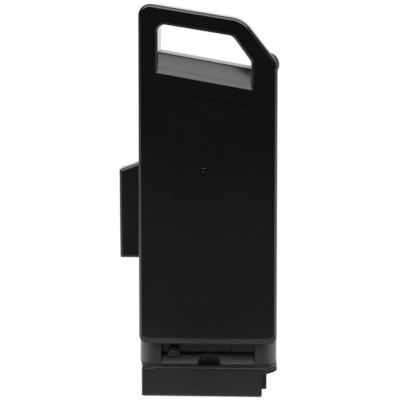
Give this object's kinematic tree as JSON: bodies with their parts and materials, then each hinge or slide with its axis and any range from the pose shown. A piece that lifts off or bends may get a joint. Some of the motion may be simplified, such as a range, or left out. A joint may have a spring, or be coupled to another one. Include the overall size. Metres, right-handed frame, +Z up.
{
  "type": "e-bike battery",
  "caption": "Tall slide-in e-bike battery with a carrying handle through its top, a lock block on one edge and a stepped base with contacts.",
  "frame": {"origin": "middle of the casing on the flat underside of the plinth", "axes": "+Z up along the casing, +X from the lock block towards the charge button, -Y out of the side panel that the picture shows"},
  "size_m": [0.1515, 0.0792, 0.3704],
  "materials": {
    "casing": "satin moulded black",
    "base": "satin moulded black",
    "block": "satin moulded black",
    "seal": "soft black rubber",
    "screw": "dark zinc",
    "vent": "satin black",
    "striker": "turned steel",
    "connector": "black",
    "contact": "bright brass",
    "bezel": "satin black",
    "button": "satin dark grey",
    "board": "green lacquer over glass fibre",
    "component": "black",
    "capacitor": "sleeved can",
    "window": "smoked, clear enough for the display behind it",
    "led": "pale green lens",
    "ribbon": "pale grey",
    "holder": "dark grey",
    "cell": "blue shrink sleeve over the can",
    "strip": "nickel plated",
    "sheet": "pressed insulation paper",
    "foam": "closed cell foam",
    "heatsink": "extruded",
    "fuse": "clear red",
    "lead_red": "flat copper in a red sleeve",
    "lead_black": "flat copper in a black sleeve"
  },
  "bodies": {
    "battery": {"front_shell": "casing", "rear_shell": "casing", "shell_seal": "seal", "shell_screws": "screw", "vent_plug": "vent", "guide_block": "block", "block_screws": "screw", "lock_striker": "striker", "neck": "base", "neck_screws": "screw", "neck_seal": "seal", "window_screw": "screw", "plinth": "base", "plinth_screws": "screw", "key_tab": "base", "connector_body": "connector", "power_blades": "contact", "signal_pins": "contact", "connector_seal": "seal", "button_bezel": "bezel", "button_switch": "component", "button_board": "board", "display_window": "window", "display_leds": "led", "display_board": "board", "display_cable": "ribbon", "cell_holder_front": "holder", "cell_holder_rear": "holder", "cell_group_1": "cell", "cell_group_2": "cell", "cell_group_3": "cell", "cell_group_4": "cell", "cell_group_5": "cell", "cell_group_6": "cell", "cell_group_7": "cell", "cell_group_8": "cell", "cell_group_9": "cell", "cell_group_10": "cell", "strips_front": "strip", "strips_rear": "strip", "insulation_front": "sheet", "insulation_rear": "sheet", "foam_front": "foam", "foam_rear": "foam", "bms_board": "board", "bms_mosfets": "component", "bms_heatsink": "heatsink", "bms_capacitors": "capacitor", "bms_chips": "component", "fuse_holder": "component", "main_fuse": "fuse", "positive_lead": "lead_red", "negative_lead": "lead_black", "balance_harness": "ribbon", "harness_plug": "ribbon", "thermistor": "component"},
    "button": {"charge_button": "button"}
  },
  "joints": [
    {"name": "button_press", "type": "slide", "parent": "battery", "child": "button", "axis": [-0.9441, 0, -0.3297], "range_m": [0, 0.0012], "stiffness_N_per_m": 800}
  ]
}
